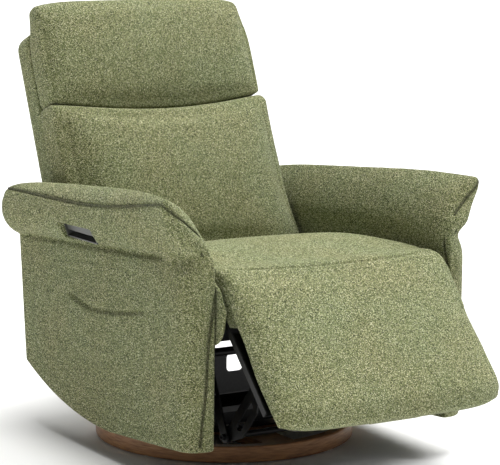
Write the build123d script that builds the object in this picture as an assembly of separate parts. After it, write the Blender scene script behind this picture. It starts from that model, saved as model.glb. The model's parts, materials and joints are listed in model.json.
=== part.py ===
from build123d import *
import os
from math import cos, hypot, radians, sin

# Swivel recliner. Millimetres, +Z up, the sitter faces -Y, origin on the swivel axis at the floor.

# Wooden base: a ring on glides with two planks lapped across it
ring_radius = 320.0
ring_width = 30.0
ring_height = 39.0
ring_round = 4.0
glide_height = 3.0
glide_radius = 11.0
glide_count = 8
plank_width = 80.0
plank_thickness = 24.0
plank_lift = 3.0
plank_seat = 14.0

# Swivel between the planks and the steel platform
swivel_plate_side = 200.0
swivel_plate_thickness = 3.5
swivel_plate_round = 18.0
bearing_radius = 72.0
bearing_width = 14.0
bearing_height = 12.0
swivel_pin_radius = 10.0
swivel_flange_radius = 20.0
swivel_flange_height = 4.0
swivel_head_height = 5.0
swivel_screw_circle = 91.0
running_clearance = 0.05
rest_clearance = 0.2

# Steel platform that carries the arms and the slide rails
tube_width = 50.0
tube_height = 30.0
tube_wall = 2.0
tube_offset = 85.0
tube_end_gap = 8.0
rail_width = 12.0
rail_height = 16.0
rail_length = 380.0
rail_inset = 22.0
shoe_length = 60.0
shoe_wall = 6.0
shoe_top = 8.0
shoe_offset = 95.0
shoe_lift = 4.0
bracket_foot = 34.0
bracket_rise = 112.0
bracket_width = 46.0
steel = 4.0

# Screws and bolts, shown by their heads and shanks
screw_head_radius = 6.0
screw_head_height = 4.0
screw_shank_radius = 3.0
screw_shank_length = 16.0

# Arms
inside_width = 644.0
arm_lining_thickness = 16.0
plywood = 18.0
arm_thickness = 67.0
flare_reach = 46.0
arm_front = -485.0
arm_rear_bottom = 327.0
arm_rear_top = 363.0
arm_bottom_front = 97.0
arm_bottom_low = 68.0
arm_bottom_low_at = -110.0
arm_bottom_rear = 161.0
arm_bottom_sweep = 0.22
arm_notch_mid = 502.0
arm_notch_slope = 0.062
arm_front_round = 54.0
arm_edge_round = 10.0
lining_bottom = 345.0
lining_front_depth = 66.0
frame_margin = 26.0
arm_window_width = 112.0
arm_window_corner = 20.0
arm_window_count = 3
arm_window_foot = 110.0
arm_window_head = 90.0
arm_window_end = 145.0
arm_crown_mid = 655.0
arm_crown_front = 669.0
arm_crown_rear = 606.0
arm_seam_mid = 614.0
flare_bulge_rear = 32.0
flare_bulge_front = 2.0
flare_corner = 54.0
flare_notch_inset = 3.0
flare_nose_inset = 27.0
flare_nose_height = 44.0
crown_setback_rear = 44.0
crown_setback_front = 10.0

# Storage pocket on the sitter's right arm
pocket_thickness = 3.0
pocket_front = -395.0
pocket_rear = 70.0
pocket_mouth = 402.0
pocket_dip = 26.0
pocket_bottom = 190.0

# Release handle under the flare of the sitter's right arm
cup_length = 150.0
cup_height = 42.0
cup_depth = 30.0
cup_wall = 3.0
cup_centre_y = 0.0
cup_rise = 35.0
cup_stand = 8.0
lever_height = 17.0
lever_thickness = 6.0
lever_end_gap = 1.5
lever_pin_radius = 2.5
lever_pin_drop = 6.0
lever_inset = 5.0

# Seat and its side plates
side_plate_gap = 10.0
seat_rear = 94.5
seat_bottom = 365.0
seat_rear_top = 462.0
seat_crown = 512.0
seat_side_drop = 9.0
roll_radius = 66.0
roll_overhang = 46.0
seat_rail_width = 27.0
seat_rail_height = 30.0
webbing_thickness = 1.5
webbing_width = 50.0
lengthwise_straps = 5
cross_straps = 4
dust_cover_thickness = 2.0
border_thickness = 6.5
border_bottom = 334.0
border_chin = 60.0
lug_radius = 20.0
lug_reach = 70.0
plate_foot_rear = 150.0
plate_foot_front = -255.0
plate_shin_height = 200.0
plate_tail_height = 240.0
plate_corner = 10.0
foot_flange_length = 280.0
slot_window_length = 120.0
channel_front = -190.0
channel_depth = 40.0
channel_bottom = 150.0
channel_top = 252.0
channel_windows = 7
channel_window_width = 46.0
channel_window_height = 44.0
channel_window_middle = 223.0
slot_window_setback = 36.0
front_window_width = 56.0
front_window_height = 82.0
front_window_rake = 16.0
rear_window_width = 110.0
rear_window_height = 140.0
rear_window_places = (-135.0, 15.0)
window_corner = 22.0
hinge_pin_radius = 6.0
back_pin_radius = 7.0

# Footrest hinge, at rest half open
hinge_y = -457.0
hinge_z = 432.0
footrest_drop_angle = 46.0
pad_face_radius = 74.0
pad_length = 372.0
pad_thickness = 60.0
pad_side_gap = 3.0
pad_crown = 12.0
pad_corner = 34.0
pad_draw = 22.0
board_thickness = 15.0
board_inset = 24.0
board_start = 76.0
scoop_clearance = 2.5

# Parallel linkage: footrest lug, push link, crank and torque tube
link_drop_y = 123.0
link_drop_z = -144.0
lug_along = 190.0
lug_depth = -58.0
torque_tube_radius = 10.0
torque_tube_wall = 2.5
tie_rod_radius = 7.0
tie_rod_wall = 2.0
link_pin_radius = 6.0
open_pivot_clearance = 0.5
link_half_width = 14.0
crank_inset = 47.0
link_spacing = 8.0

# Back, modelled upright at its pivot and then leaned
pivot_y = 170.0
pivot_z = 450.0
back_lean = 22.5
back_roll_radius = 71.0
back_plane = 100.0
shell_thickness = 80.0
shell_bottom = -90.0
shell_top = 608.0
shell_side_gap = 6.0
shell_round = 34.0
lumbar_side_gap = 3.0
lumbar_top = 384.0
lumbar_top_round = 28.0
lumbar_top_front = -16.0
lumbar_crown = 24.0
lumbar_seam = 0.0
lumbar_mid_front = -48.0
headrest_bottom = 388.0
headrest_dip = 18.0
headrest_top = 662.0
headrest_overhang = 7.0
headrest_front = 4.0
headrest_crown = 20.0
headrest_board_thickness = 12.0
back_frame_inset = 22.0
back_frame_bottom = -60.0
back_frame_top = 560.0
back_rail_width = 40.0
back_straps = 6
back_flange_foot = 10.0
back_flange_head = 140.0

# Stations across the cushions, as shares of their half width
cushion_shares = (-1.0, -0.95, -0.85, -0.6, 0.0, 0.6, 0.85, 0.95, 1.0)
edge_power = 6

# Heights and places that follow from the sizes above
ring_top = glide_height + ring_height
plank_bottom = glide_height + plank_lift
plank_top = plank_bottom + plank_thickness
lower_plate_top = plank_top + swivel_plate_thickness
bearing_top = lower_plate_top + bearing_height
upper_plate_bottom = bearing_top + rest_clearance
upper_plate_top = upper_plate_bottom + swivel_plate_thickness
tube_top = upper_plate_top + tube_height
rail_top = tube_top + rail_height
shoe_bottom = tube_top + shoe_lift
shoe_height = rail_top + rest_clearance + shoe_top - shoe_bottom
plate_foot = shoe_bottom + shoe_height
arm_inner = inside_width / 2
frame_inner = arm_inner + arm_lining_thickness
arm_outer = arm_inner + arm_thickness
flare_tip = arm_outer + flare_reach
plate_outer = arm_inner - side_plate_gap
plate_inner = plate_outer - steel
bracket_outer = plate_inner - 1.0
bracket_inner = bracket_outer - steel
cushion_half = plate_inner - 0.5
rail_centre = plate_inner - rail_inset
pad_half_width = bracket_inner - pad_side_gap
crank_x = bracket_inner - crank_inset
link_x = crank_x - link_spacing
lug_x = link_x - link_spacing
shell_half_width = plate_inner - shell_side_gap
lumbar_half_width = bracket_inner - lumbar_side_gap
headrest_half_width = bracket_inner + headrest_overhang
back_frame_half = shell_half_width - back_frame_inset
border_front = hinge_y - roll_radius + 4.0
seat_rail_bottom = seat_bottom - 2 * webbing_thickness - seat_rail_height
seat_rail_top = seat_rail_bottom + seat_rail_height
seat_front = hinge_y + roll_overhang
crank_pivot = (hinge_y + link_drop_y, hinge_z + link_drop_z)


def footrest_point(along, out):
    """Row Y, Z of a point given along the pad from the hinge and out of its face."""
    drop = radians(footrest_drop_angle)
    y = hinge_y - along * cos(drop) - out * sin(drop)
    z = hinge_z - along * sin(drop) + out * cos(drop)
    return (y, z)


lug_pivot = footrest_point(lug_along, lug_depth)
tie_pivot = (lug_pivot[0] + link_drop_y, lug_pivot[1] + link_drop_z)


def notch_height(y):
    """Height of the line where the flared top meets the lower arm."""
    return arm_notch_mid - arm_notch_slope * y


def box(x0, x1, y0, y1, z0, z1):
    """Box between two corners."""
    size = (x1 - x0, y1 - y0, z1 - z0)
    centre = ((x0 + x1) / 2, (y0 + y1) / 2, (z0 + z1) / 2)
    return Pos(*centre) * Box(*size)


def upright(x, y, z, radius, height):
    """Cylinder standing on z."""
    return Pos(x, y, z + height / 2) * Cylinder(radius, height)


def crosswise(x0, x1, y, z, radius):
    """Cylinder along X."""
    return Pos((x0 + x1) / 2, y, z) * Rot(0, 90, 0) * Cylinder(radius, x1 - x0)


def sheet(outline, x0, thickness):
    """Plate cut to a Y, Z outline, standing in the plane X = x0."""
    return Pos(x0, 0, 0) * extrude(Plane.YZ * outline, amount=thickness, dir=(1, 0, 0))


def rounded(points, radius):
    """Face of a polygon with rounded corners."""
    return make_face(FilletPolyline(*points, radius=radius, close=True))


def bar(start, end, half_width):
    """Round-ended bar face between two pivots."""
    run = Vector(end[0] - start[0], end[1] - start[1])
    middle = ((start[0] + end[0]) / 2, (start[1] + end[1]) / 2)
    turn = Vector(1, 0).get_signed_angle(run, Vector(0, 0, 1))
    return Pos(*middle) * Rot(0, 0, turn) * SlotCenterToCenter(run.length, 2 * half_width)


def disc(centre, radius):
    """Disc face about a pivot."""
    return Pos(*centre) * Circle(radius)


def pair(right_piece):
    """The piece at +X and its mirror at -X."""
    return {"left": right_piece, "right": mirror(right_piece, about=Plane.YZ)}


def at_x(x):
    """Drawing plane across the chair: its axes are Y and Z."""
    return Plane(origin=(x, 0, 0), x_dir=(0, 1, 0), z_dir=(1, 0, 0))


def at_y(y):
    """Drawing plane facing the front: its axes are X and Z."""
    return Plane(origin=(0, y, 0), x_dir=(1, 0, 0), z_dir=(0, -1, 0))


def lean_back(piece):
    """Place a piece that was drawn upright at the back's pivot."""
    return Pos(0, pivot_y, pivot_z) * Rot(-back_lean, 0, 0) * piece


def screws_down(places, z):
    """Screws with their heads standing on z and shanks below."""
    pieces = []
    for x, y in places:
        head = upright(x, y, z, screw_head_radius, screw_head_height)
        shank = upright(x, y, z - screw_shank_length, screw_shank_radius, screw_shank_length)
        pieces.append(head + shank)
    return pieces


# Base
def base_planks():
    """Two planks, half lapped where they cross."""
    reach = ring_radius - ring_width + plank_seat
    half = plank_width / 2
    lap = plank_bottom + plank_thickness / 2
    long_plank = box(-half, half, -reach, reach, plank_bottom, plank_top)
    long_plank -= box(-half, half, -half, half, lap, plank_top)
    short_plank = box(-reach, reach, -half, half, plank_bottom, plank_top)
    short_plank -= box(-half, half, -half, half, plank_bottom, lap)
    return long_plank, short_plank


def base_ring():
    """Turned ring with eased edges and four rebates for the plank ends."""
    profile = Pos(ring_radius - ring_width / 2, glide_height + ring_height / 2)
    profile *= RectangleRounded(ring_width, ring_height, ring_round)
    ring = revolve(Plane.XZ * profile, axis=Axis.Z)
    reach = ring_radius - ring_width + plank_seat
    half = plank_width / 2
    ring -= box(-half, half, -reach, reach, plank_bottom, plank_top)
    ring -= box(-reach, reach, -half, half, plank_bottom, plank_top)
    return ring


def base_glides():
    """Glides under the ring, and one under the lap of the planks."""
    pieces = [upright(0, 0, 0, glide_radius, plank_bottom)]
    middle = ring_radius - ring_width / 2
    for index in range(glide_count):
        turn = radians(360 / glide_count * (index + 0.5))
        x = middle * cos(turn)
        y = middle * sin(turn)
        pieces.append(upright(x, y, 0, glide_radius, glide_height))
    return pieces


swivel_screw_places = [(swivel_screw_circle, 0), (-swivel_screw_circle, 0)]
swivel_screw_places += [(0, swivel_screw_circle), (0, -swivel_screw_circle)]


def swivel_plate(z):
    """Square plate with rounded corners."""
    outline = RectangleRounded(swivel_plate_side, swivel_plate_side, swivel_plate_round)
    return Pos(0, 0, z) * extrude(outline, amount=swivel_plate_thickness)


def swivel_pin():
    """Flanged pin that the upper plate turns on, with its head above that plate."""
    pin = upright(0, 0, lower_plate_top, swivel_flange_radius, swivel_flange_height)
    head_at = upper_plate_top + rest_clearance
    pin += upright(0, 0, lower_plate_top, swivel_pin_radius, head_at - lower_plate_top)
    pin += upright(0, 0, head_at, swivel_flange_radius, swivel_head_height)
    return pin


def bearing_ring():
    """Nylon race that carries the upper plate."""
    outer = upright(0, 0, lower_plate_top, bearing_radius + bearing_width / 2, bearing_height)
    return outer - upright(0, 0, lower_plate_top, bearing_radius - bearing_width / 2, bearing_height)


def drilled(piece, places, z, depth):
    """Piece with clearance holes for screw shanks, down from z."""
    for x, y in places:
        piece -= upright(x, y, z - depth, screw_shank_radius + running_clearance, depth)
    return piece


# Platform
def cross_tube(y):
    """Rectangular steel tube across the chair."""
    half = frame_inner - tube_end_gap
    outer = box(-half, half, y - tube_width / 2, y + tube_width / 2, upper_plate_top, tube_top)
    side = tube_width / 2 - tube_wall
    inner = box(-half, half, y - side, y + side, upper_plate_top + tube_wall, tube_top - tube_wall)
    return outer - inner


def arm_bracket(y):
    """Angle bracket from a tube to the arm frame on the +X side."""
    foot = box(frame_inner - bracket_foot, frame_inner, y - bracket_width / 2, y + bracket_width / 2,
               tube_top, tube_top + steel)
    wall = box(frame_inner - steel, frame_inner, y - bracket_width / 2, y + bracket_width / 2,
               tube_top, tube_top + bracket_rise)
    return foot + fillet(wall.edges().filter_by(Axis.X).group_by(Axis.Z)[-1], steel)


def bracket_bolts(y):
    """Bolt heads on one bracket's wall."""
    pieces = []
    for share in (0.5, 0.82):
        z = tube_top + bracket_rise * share
        face = frame_inner - steel
        pieces.append(crosswise(face - screw_head_height, face, y, z, screw_head_radius))
    return pieces


def slide_rail():
    """Bar that a pair of shoes slides on."""
    half = rail_width / 2
    return box(rail_centre - half, rail_centre + half, -rail_length / 2, rail_length / 2, tube_top, rail_top)


def slide_shoe(y):
    """Nylon shoe that straddles the rail."""
    half = rail_width / 2 + rest_clearance
    outer = box(rail_centre - half - shoe_wall, rail_centre + half + shoe_wall,
                y - shoe_length / 2, y + shoe_length / 2, shoe_bottom, plate_foot)
    groove = box(rail_centre - half, rail_centre + half,
                 y - shoe_length / 2, y + shoe_length / 2, shoe_bottom, rail_top + rest_clearance)
    return outer - groove


# Arms, drawn at +X and mirrored
def arm_side_outline(margin):
    """Side outline of the lower arm in Y and Z, drawn in by a margin."""
    front = arm_front + margin
    rear_low = arm_rear_bottom - margin
    rear_high = arm_rear_top - margin
    low = (arm_bottom_low_at, arm_bottom_low + margin)
    corner_front = (front, arm_bottom_front + margin)
    corner_rear = (rear_low, arm_bottom_rear + margin)
    sweep = ((low[0] + corner_rear[0]) / 2, low[1] + arm_bottom_sweep * (corner_rear[1] - low[1]))
    top_front = (front, notch_height(front))
    top_rear = (rear_high, notch_height(rear_high))
    edges = [Line(top_front, corner_front), Line(corner_front, low)]
    edges += [ThreePointArc(low, sweep, corner_rear), Line(corner_rear, top_rear), Line(top_rear, top_front)]
    return make_face(edges)


def lower_arm():
    """Whole upholstered lower arm, before it is parted into its pieces."""
    body = sheet(arm_side_outline(0.0), arm_inner, arm_thickness)
    outer = body.faces().sort_by(Axis.X)[-1]
    front = outer.edges().sort_by(Axis.Y)[0]
    body = fillet(front, arm_front_round)
    outer = body.faces().filter_by(Axis.X).sort_by(Axis.X)[-1]
    rest = [edge for edge in outer.edges() if edge.center().Z < notch_height(edge.center().Y) - 5]
    rest = [edge for edge in rest if edge.center().Y > arm_front + arm_front_round + 5]
    return fillet(rest, arm_edge_round)


def arm_frame():
    """Plywood panel of the arm with three windows."""
    panel = sheet(arm_side_outline(frame_margin), frame_inner, plywood)
    low = arm_bottom_low + arm_window_foot
    high = arm_notch_mid - arm_window_head
    first = arm_front + arm_window_end + arm_window_width / 2
    last = arm_rear_bottom - arm_window_end - arm_window_width / 2
    for index in range(arm_window_count):
        middle = first + (last - first) * index / (arm_window_count - 1)
        window = Pos(middle, (low + high) / 2) * RectangleRounded(arm_window_width, high - low, arm_window_corner)
        panel -= sheet(window, frame_inner, plywood)
    return panel


def arm_lining(body):
    """Padded lining inside the arm: a band at seat height and a strip down the front."""
    slab = body & box(arm_inner, frame_inner, arm_front - 50, arm_rear_top + 50, 0, arm_crown_front)
    return slab - box(arm_inner, frame_inner, arm_front + lining_front_depth, arm_rear_top + 50, 0, lining_bottom)


def arm_panel(body, frame):
    """Upholstered outer side of the arm, wrapped round the plywood."""
    slab = body & box(frame_inner, arm_outer, arm_front - 50, arm_rear_top + 50, 0, arm_crown_front)
    window_fill = sheet(arm_side_outline(frame_margin), frame_inner, plywood)
    return slab - window_fill


def flare_section(y, crown, seam, tip_x, bulge, setback, inset):
    """Section of the flared top in X and Z at one station: setback is how far its crown lies inside its tip."""
    base = notch_height(y)
    inner = (arm_inner, base)
    notch = (arm_outer - inset, base)
    tip = (tip_x, seam)
    top = (tip_x - setback, crown)
    inner_mid = (arm_inner + 0.3 * (top[0] - arm_inner), base + 0.6 * (crown - base))
    top_mid = (tip_x - 0.4 * setback, crown - 0.36 * (crown - seam))
    chord = Vector(tip[0] - notch[0], tip[1] - notch[1])
    outward = Vector(chord.Y, -chord.X).normalized() * bulge
    under_mid = ((tip[0] + notch[0]) / 2 + outward.X, (tip[1] + notch[1]) / 2 + outward.Y)
    edges = [Line(notch, inner), ThreePointArc(inner, inner_mid, top)]
    edges += [ThreePointArc(top, top_mid, tip), ThreePointArc(tip, under_mid, notch)]
    return at_y(y) * make_face(edges)


def flare_bulge(share):
    """How far the flare's outer face bulges, from the rear end at 0 to the front end at 1."""
    return flare_bulge_rear + (flare_bulge_front - flare_bulge_rear) * share


def crown_setback(share):
    """How far the flare's crown lies inside its tip, from the rear end at 0 to the front end at 1."""
    return crown_setback_rear + (crown_setback_front - crown_setback_rear) * share**3


def arm_pad():
    """Flared arm top, lofted from the rear end to a blunt nose at the front corner."""
    span = arm_rear_top - arm_front
    rises = [
        (0.0, arm_crown_rear, arm_crown_rear - 8),
        (0.28, arm_crown_mid - 20, arm_seam_mid - 10),
        (0.55, arm_crown_mid, arm_seam_mid),
        (0.80, arm_crown_front, arm_seam_mid + 26),
        (1.0 - flare_corner / span, arm_crown_front - 2, arm_crown_front - 10),
    ]
    sections = []
    for share, crown, seam in rises:
        bulge = flare_bulge(share)
        tip_x = flare_tip - bulge / 2
        y = arm_rear_top - share * span
        sections.append(flare_section(y, crown, seam, tip_x, bulge, crown_setback(share), flare_notch_inset))
    nose_y = arm_front + 6.0
    nose_low = notch_height(nose_y)
    nose_tip = arm_outer - flare_nose_inset + 0.4 * flare_nose_height
    nose = flare_section(nose_y, nose_low + flare_nose_height, nose_low + 0.73 * flare_nose_height, nose_tip,
                         flare_bulge_front, crown_setback_front, flare_nose_inset)
    return loft(sections) + loft([sections[-1], nose], ruled=True)


def side_pocket_face(thickness, rise):
    """Pocket outline on the arm's outer side, its mouth raised by a little."""
    front = (pocket_front, pocket_mouth + rise)
    rear = (pocket_rear, pocket_mouth + rise)
    dip = ((pocket_front + pocket_rear) / 2, pocket_mouth + rise - pocket_dip)
    low_front = (pocket_front, pocket_bottom)
    low_rear = (pocket_rear, pocket_bottom)
    edges = [ThreePointArc(front, dip, rear), Line(rear, low_rear)]
    edges += [Line(low_rear, low_front), Line(low_front, front)]
    return sheet(make_face(edges), arm_outer - thickness, thickness)


# Release handle: the cup is drawn flat, then set into the flare of the -X arm
cup_share = (arm_rear_top - cup_centre_y) / (arm_rear_top - arm_front)
cup_notch = notch_height(cup_centre_y)
flare_lean = Vector(flare_reach + 3.0 - flare_bulge(cup_share) / 2, arm_seam_mid - cup_notch)
cup_normal = Vector(-flare_lean.Y, 0, -flare_lean.X).normalized()
cup_x = arm_outer - 3.0 + flare_lean.X * cup_rise / flare_lean.Y - cup_stand * cup_normal.X
cup_centre_z = cup_notch + cup_rise + cup_stand * cup_normal.Z
cup_plane = Plane(origin=(-cup_x, cup_centre_y, cup_centre_z), x_dir=(0, 1, 0), z_dir=cup_normal)
cup_inner_length = cup_length - 2 * cup_wall
lever_axis_height = cup_height / 2 - cup_wall - lever_pin_drop
lever_axis_depth = -lever_inset - lever_thickness / 2


def cup_block(length, height, depth):
    """Block behind the cup's mouth, in the cup's own plane."""
    return Pos(0, 0, -depth / 2) * Box(length, height, depth)


def cup_up():
    """+1 where the cup plane's second axis points up, else -1."""
    return 1.0 if cup_plane.y_dir.Z > 0 else -1.0


def release_cup():
    """Moulded cup, open at its mouth, with holes for the lever's pin."""
    cup = cup_block(cup_length, cup_height, cup_depth)
    cup -= cup_block(cup_inner_length, cup_height - 2 * cup_wall, cup_depth - cup_wall)
    hole = Pos(0, cup_up() * lever_axis_height, lever_axis_depth) * Rot(0, 90, 0)
    cup -= hole * Cylinder(lever_pin_radius + running_clearance, cup_length)
    return cup


def release_pin():
    """Pin across the cup for the lever."""
    place = Pos(0, cup_up() * lever_axis_height, lever_axis_depth) * Rot(0, 90, 0)
    return place * Cylinder(lever_pin_radius, cup_length)


def release_lever():
    """Paddle that hangs from the pin, with a rounded knuckle and a finger lip."""
    length = cup_inner_length - 2 * lever_end_gap
    knuckle = lever_thickness / 2 + 1.5
    axis_v = cup_up() * lever_axis_height
    low_v = cup_up() * (lever_axis_height - lever_height)
    lip_v = cup_up() * (lever_axis_height - lever_height + 3.0)
    paddle_mid = Pos(0, (axis_v + low_v) / 2, lever_axis_depth)
    lever = paddle_mid * Box(length, lever_height, lever_thickness)
    lever += Pos(0, axis_v, lever_axis_depth) * Rot(0, 90, 0) * Cylinder(knuckle, length)
    lever += Pos(0, lip_v, lever_axis_depth - lever_thickness) * Box(length, 6.0, lever_thickness)
    lever -= Pos(0, axis_v, lever_axis_depth) * Rot(0, 90, 0) * Cylinder(lever_pin_radius + running_clearance, length)
    return lever


# Seat
def side_plate():
    """Pressed side plate: foot flange, web with windows, and lugs for both hinges."""
    neck = hinge_z - 2 * lug_radius
    shoulder = pivot_z - 1.5 * lug_radius
    web = rounded([
        (plate_foot_rear, plate_foot), (plate_foot_front, plate_foot), (hinge_y + 6, plate_shin_height),
        (hinge_y - 8, neck), (hinge_y + 30, neck), (seat_front + 4, seat_rail_top),
        (pivot_y - 3 * lug_radius, seat_rail_top), (pivot_y - 18, shoulder), (pivot_y + 18, shoulder),
        (pivot_y + lug_radius, plate_tail_height),
    ], plate_corner)
    web += bar((hinge_y + 4, hinge_z - lug_reach), (hinge_y, hinge_z), lug_radius)
    web += bar((pivot_y, pivot_z - lug_reach), (pivot_y, pivot_z), lug_radius)
    slot_top = border_bottom - 3.0
    slot_bottom = crank_pivot[1] + torque_tube_radius + 8.0
    slot_front = hinge_y + slot_window_setback
    slot_rear = slot_front + slot_window_length
    web -= rounded([(slot_front, slot_bottom), (slot_rear, slot_bottom), (slot_rear, slot_top),
                    (slot_front, slot_top)], 8.0)
    rear = slot_front + front_window_width
    top = slot_bottom - 2.5 * front_window_rake + 6.0
    low = top - front_window_height
    web -= rounded([(slot_front, low + front_window_rake), (rear, low), (rear, top - front_window_rake / 2),
                    (slot_front, top)], window_corner / 2)
    for middle in rear_window_places:
        centre = (middle, crank_pivot[1] - rear_window_height / 2)
        web -= Pos(*centre) * RectangleRounded(rear_window_width, rear_window_height, window_corner)
    web -= disc(crank_pivot, torque_tube_radius + running_clearance)
    web -= disc((hinge_y, hinge_z), hinge_pin_radius + running_clearance)
    web -= disc((pivot_y, pivot_z), back_pin_radius + running_clearance)
    plate = sheet(web, plate_inner, steel)
    flange_inner = rail_centre - rail_width / 2 - shoe_wall
    return plate + box(flange_inner, plate_outer, -foot_flange_length / 2, foot_flange_length / 2,
                       plate_foot, plate_foot + steel)


def front_rail():
    """Rectangular steel tube under the seat's front edge."""
    rear = seat_front + seat_rail_width
    bore_front = seat_front + tube_wall
    bore_low = seat_rail_bottom + tube_wall
    rail = box(-plate_inner, plate_inner, seat_front, rear, seat_rail_bottom, seat_rail_top)
    return rail - box(-plate_inner, plate_inner, bore_front, rear - tube_wall, bore_low, seat_rail_top - tube_wall)


def seat_channel():
    """Pressed channel between the side plates, with a row of windows."""
    rear = channel_front + channel_depth
    channel = box(-plate_inner, plate_inner, channel_front, rear, channel_bottom, channel_top)
    channel -= box(-plate_inner, plate_inner, channel_front + steel, rear, channel_bottom + steel, channel_top - steel)
    pitch = 2 * plate_inner / channel_windows
    window = RectangleRounded(channel_window_width, channel_window_height, window_corner / 2)
    for index in range(channel_windows):
        place = (pitch * (index + 0.5) - plate_inner, channel_window_middle)
        channel -= Pos(0, channel_front + steel, 0) * extrude(Plane.XZ * (Pos(*place) * window), amount=steel)
    return channel


def seat_cushion():
    """Seat cushion with a crown, falling to the back, and a rolled front round the hinge line."""
    middle = (seat_front + seat_rear) / 2 - 20
    sections = []
    for share in (-1.0, -0.72, 0.0, 0.72, 1.0):
        side = share * share
        drop = seat_side_drop * side
        rear_top = (seat_rear, seat_rear_top - drop)
        crown = (middle, seat_crown - 8 - drop)
        roll_top = (hinge_y, hinge_z + roll_radius)
        roll_nose = (hinge_y - roll_radius, hinge_z)
        roll_under = (hinge_y, hinge_z - roll_radius)
        diagonal = roll_radius * sin(radians(45))
        edges = [Line((seat_rear, seat_bottom), rear_top), ThreePointArc(rear_top, crown, roll_top)]
        edges.append(ThreePointArc(roll_top, (hinge_y - diagonal, hinge_z + diagonal), roll_nose))
        edges.append(ThreePointArc(roll_nose, (hinge_y - diagonal, hinge_z - diagonal), roll_under))
        edges.append(Line(roll_under, (seat_front, seat_bottom)))
        edges.append(Line((seat_front, seat_bottom), (seat_rear, seat_bottom)))
        sections.append(at_x(share * cushion_half) * make_face(edges))
    cushion = loft(sections)
    for side in (-1, 1):
        inner = side * (bracket_inner - 1.0)
        outer = side * (cushion_half + 5.0)
        cushion -= box(min(inner, outer), max(inner, outer), hinge_y - 2 * roll_radius, hinge_y + roll_radius,
                       seat_bottom - roll_radius, seat_crown + roll_radius)
    return cushion


def seat_straps():
    """Elastic webbing: straps front to back and straps across them."""
    pieces = []
    rear = seat_rear - 10
    pitch = 2 * (cushion_half - seat_rail_width) / (lengthwise_straps + 1)
    for index in range(lengthwise_straps):
        x = pitch * (index + 1 - (lengthwise_straps + 1) / 2)
        half = webbing_width / 2
        pieces.append(box(x - half, x + half, seat_front, rear, seat_rail_top, seat_rail_top + webbing_thickness))
    pitch = (rear - seat_front) / (cross_straps + 1)
    for index in range(cross_straps):
        y = seat_front + pitch * (index + 1)
        half = webbing_width / 2
        low = seat_rail_top + webbing_thickness
        pieces.append(box(-cushion_half, cushion_half, y - half, y + half, low, low + webbing_thickness))
    return pieces


def seat_border():
    """Upholstered border outside the side plate, its nose rounded about the footrest hinge."""
    nose = disc((hinge_y, hinge_z), hinge_y - border_front)
    chin = disc((border_front + border_chin + 8.0, border_bottom + border_chin), border_chin)
    rear = rounded([
        (seat_rear, border_bottom), (seat_front, border_bottom), (seat_front, hinge_z + roll_radius - 6),
        (seat_rear, seat_rear_top - seat_side_drop - 4),
    ], 16.0)
    return sheet(make_hull(nose.edges() + chin.edges() + rear.edges()), plate_outer, border_thickness)


# Footrest, drawn along the pad from the hinge and then turned to its rest angle
def footrest_place(piece):
    """Place a piece drawn with +Y along the pad and +Z out of its face."""
    turned = Rot(footrest_drop_angle, 0, 0) * Rot(0, 0, 180) * piece
    return Pos(0, hinge_y, hinge_z) * turned


def footrest_pad():
    """Footrest pad: crowned face, drawn-in edges and a scooped top end round the seat's front roll."""
    back = pad_face_radius - pad_thickness
    sections = []
    for share in cushion_shares:
        draw = pad_draw * abs(share) ** edge_power
        face = pad_face_radius - draw
        end = pad_length - draw
        start = (0.0, face)
        far = (end - 20, face - 6)
        nose = (end, face - 34 + draw / 2)
        middle = (end * 0.5, face + pad_crown * (1 - share * share))
        edges = [Line((0.0, back), start), ThreePointArc(start, middle, far)]
        edges.append(ThreePointArc(far, (end - 5, face - 15), nose))
        edges.append(Line(nose, (end - 8, back)))
        edges.append(Line((end - 8, back), (0.0, back)))
        sections.append(at_x(share * pad_half_width) * make_face(edges))
    pad = loft(sections)
    scoop = roll_radius + scoop_clearance
    pad -= crosswise(-pad_half_width - 5, pad_half_width + 5, 0, 0, scoop)
    return pad


def footrest_board():
    """Plywood board behind the pad with rounded corners."""
    half = pad_half_width - board_inset
    top = pad_face_radius - pad_thickness
    length = pad_length - board_inset - board_start
    outline = Pos(0, board_start + length / 2) * RectangleRounded(2 * half, length, pad_corner)
    return Pos(0, 0, top - board_thickness) * extrude(outline, amount=board_thickness)


def footrest_bracket():
    """Bent steel bracket at +X: hinge arm, flange under the board and a lug for the push link."""
    board_back = pad_face_radius - pad_thickness - board_thickness
    flange_end = lug_along + 110
    arm = rounded([
        (-12, -12), (4, 14), (30, 6), (board_start + 60, board_back + 12),
        (flange_end, board_back + 12), (flange_end, board_back - steel), (board_start, board_back - steel),
    ], 3.0)
    arm += disc((0, 0), lug_radius - 4)
    arm -= disc((0, 0), hinge_pin_radius + running_clearance)
    bracket = sheet(arm, bracket_inner, steel)
    bracket += box(lug_x, bracket_outer, board_start + 8, flange_end, board_back - steel, board_back)
    lug = rounded([
        (lug_along - 45, board_back - steel / 2), (lug_along - 14, lug_depth - 8), (lug_along, lug_depth - 14),
        (lug_along + 14, lug_depth - 8), (lug_along + 45, board_back - steel / 2),
    ], 4.0)
    lug -= disc((lug_along, lug_depth), link_pin_radius + running_clearance)
    return bracket + sheet(lug, lug_x, steel)


def footrest_link_pins():
    """Pins in the two lugs for the push links."""
    pieces = []
    for side in (1, -1):
        inner = side * lug_x
        outer = side * (link_x + steel + 3.0)
        pieces.append(crosswise(min(inner, outer), max(inner, outer), lug_along, lug_depth, link_pin_radius))
    return pieces


# Linkage
def torque_tube():
    """Tube through both side plates that ties the cranks together."""
    reach = plate_outer + 3.0
    tube = crosswise(-reach, reach, *crank_pivot, torque_tube_radius)
    return tube - crosswise(-reach, reach, *crank_pivot, torque_tube_radius - torque_tube_wall)


def tie_rod():
    """Open tube between the crank ends, on which the push links turn."""
    reach = crank_x + steel + 8.0
    rod = crosswise(-reach, reach, *tie_pivot, tie_rod_radius)
    return rod - crosswise(-reach, reach, *tie_pivot, tie_rod_radius - tie_rod_wall)


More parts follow.
